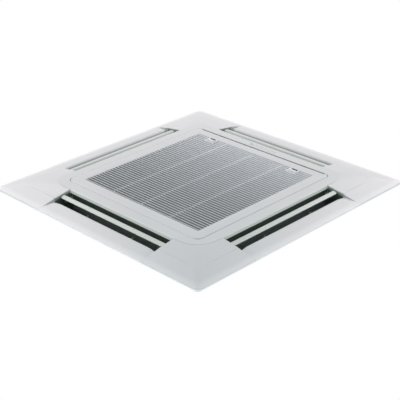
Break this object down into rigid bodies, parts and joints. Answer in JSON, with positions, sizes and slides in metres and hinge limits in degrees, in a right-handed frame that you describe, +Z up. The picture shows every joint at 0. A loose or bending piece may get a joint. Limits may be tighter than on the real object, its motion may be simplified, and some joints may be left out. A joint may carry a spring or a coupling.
{
  "type": "ceiling cassette air conditioner",
  "caption": "Square ceiling cassette air conditioner: panel with a hinged slatted intake grille, an air slot with a swinging vane along each side, and the body that hangs above the ceiling.",
  "frame": {"origin": "middle of the ceiling opening, level with the ceiling's lower face, where the panel's gasket rests", "axes": "+Z up, away from the room; +X to the right when the grille's hinge edge is towards the viewer looking down; -Y towards the grille's hinge edge, +Y towards the receiver and latches"},
  "size_m": [0.95, 0.95, 0.2956],
  "materials": {
    "white_moulding": "fine satin white moulding",
    "vane_moulding": "fine satin white moulding, a little cooler than the frame",
    "grey_foam": "closed cell foam strip",
    "dark_foam": "closed cell foam",
    "pan_foam": "expanded foam beads",
    "zinc_steel": "zinc plated",
    "galvanised_steel": "galvanised sheet",
    "motor_steel": "painted can",
    "grey_moulding": "plain grey moulding",
    "dark_net": "woven plastic net",
    "window_moulding": "smooth translucent moulding",
    "lamp_resin": "clear resin, unlit",
    "black_rubber": "plain rubber",
    "coil_fins": "close stamped fins",
    "copper": "bare copper",
    "brass": "machined brass",
    "fan_moulding": "dark grey moulding",
    "board_laminate": "green board with dark parts"
  },
  "bodies": {
    "unit": {"panel_frame": "white_moulding", "rim_gasket": "grey_foam", "outlet_seals": "dark_foam", "panel_screws": "zinc_steel", "vane_bushes": "grey_moulding", "receiver_housing": "grey_moulding", "receiver_window": "window_moulding", "indicator_lamps": "lamp_resin", "casing_wall": "galvanised_steel", "top_plate": "galvanised_steel", "foam_lining": "dark_foam", "drain_pan": "pan_foam", "drain_plug": "black_rubber", "fin_pack": "coil_fins", "coil_end_plates": "galvanised_steel", "coil_tubes": "copper", "gas_pipe": "copper", "liquid_pipe": "copper", "flare_unions": "brass", "pipe_plate": "galvanised_steel", "drain_pump": "grey_moulding", "pump_bracket": "galvanised_steel", "float_switch": "grey_moulding", "drain_socket": "grey_moulding", "fan_motor": "motor_steel", "motor_feet": "black_rubber", "bell_mouth": "fan_moulding", "control_box": "galvanised_steel", "control_lid": "galvanised_steel", "circuit_board": "board_laminate", "terminal_block": "grey_moulding", "sensors": "black_rubber", "cable_grommet": "black_rubber", "casing_screws": "zinc_steel", "corner_cover_right_rear": "white_moulding", "hanger_bracket_right_rear": "galvanised_steel", "corner_cover_right_front": "white_moulding", "hanger_bracket_right_front": "galvanised_steel", "corner_cover_left_rear": "white_moulding", "hanger_bracket_left_rear": "galvanised_steel", "corner_cover_left_front": "white_moulding", "hanger_bracket_left_front": "galvanised_steel", "vane_motor_front": "motor_steel", "vane_motor_right": "motor_steel", "vane_motor_rear": "motor_steel", "vane_motor_left": "motor_steel"},
    "grille": {"intake_grille": "white_moulding", "grille_hinge_pins": "zinc_steel", "filter_frame": "grey_moulding", "filter_net": "dark_net"},
    "latch_left": {"grille_latch_left": "white_moulding"},
    "latch_right": {"grille_latch_right": "white_moulding"},
    "fan_rotor": {"turbo_fan": "fan_moulding", "motor_shaft": "zinc_steel", "fan_nut": "zinc_steel"},
    "pump_float": {"float_ring": "white_moulding"},
    "air_vane_front": {"vane_front": "vane_moulding"},
    "air_vane_right": {"vane_right": "vane_moulding"},
    "air_vane_rear": {"vane_rear": "vane_moulding"},
    "air_vane_left": {"vane_left": "vane_moulding"}
  },
  "joints": [
    {"name": "grille_hinge", "type": "hinge", "parent": "unit", "child": "grille", "pos_m": [0, -0.287, -0.0275], "axis": [-1, 0, 0], "range_deg": [0, 90]},
    {"name": "latch_slide_left", "type": "slide", "parent": "grille", "child": "latch_left", "axis": [0, 1, 0], "range_m": [0, 0.004]},
    {"name": "latch_slide_right", "type": "slide", "parent": "grille", "child": "latch_right", "axis": [0, 1, 0], "range_m": [0, 0.004]},
    {"name": "vane_swing_front", "type": "hinge", "parent": "unit", "child": "air_vane_front", "pos_m": [0, -0.365, -0.001], "axis": [1, 0, 0], "range_deg": [-20, 38]},
    {"name": "vane_swing_right", "type": "hinge", "parent": "unit", "child": "air_vane_right", "pos_m": [0.365, 0, -0.001], "axis": [0, 1, 0], "range_deg": [-20, 38]},
    {"name": "vane_swing_rear", "type": "hinge", "parent": "unit", "child": "air_vane_rear", "pos_m": [0, 0.365, -0.001], "axis": [-1, 0, 0], "range_deg": [-20, 38]},
    {"name": "vane_swing_left", "type": "hinge", "parent": "unit", "child": "air_vane_left", "pos_m": [-0.365, 0, -0.001], "axis": [0, -1, 0], "range_deg": [-20, 38]},
    {"name": "fan_spin", "type": "hinge", "parent": "unit", "child": "fan_rotor", "pos_m": [0, 0, 0.2], "axis": [0, 0, 1], "continuous": true},
    {"name": "float_lift", "type": "slide", "parent": "unit", "child": "pump_float", "axis": [0, 0, 1], "range_m": [0, 0.009]}
  ]
}
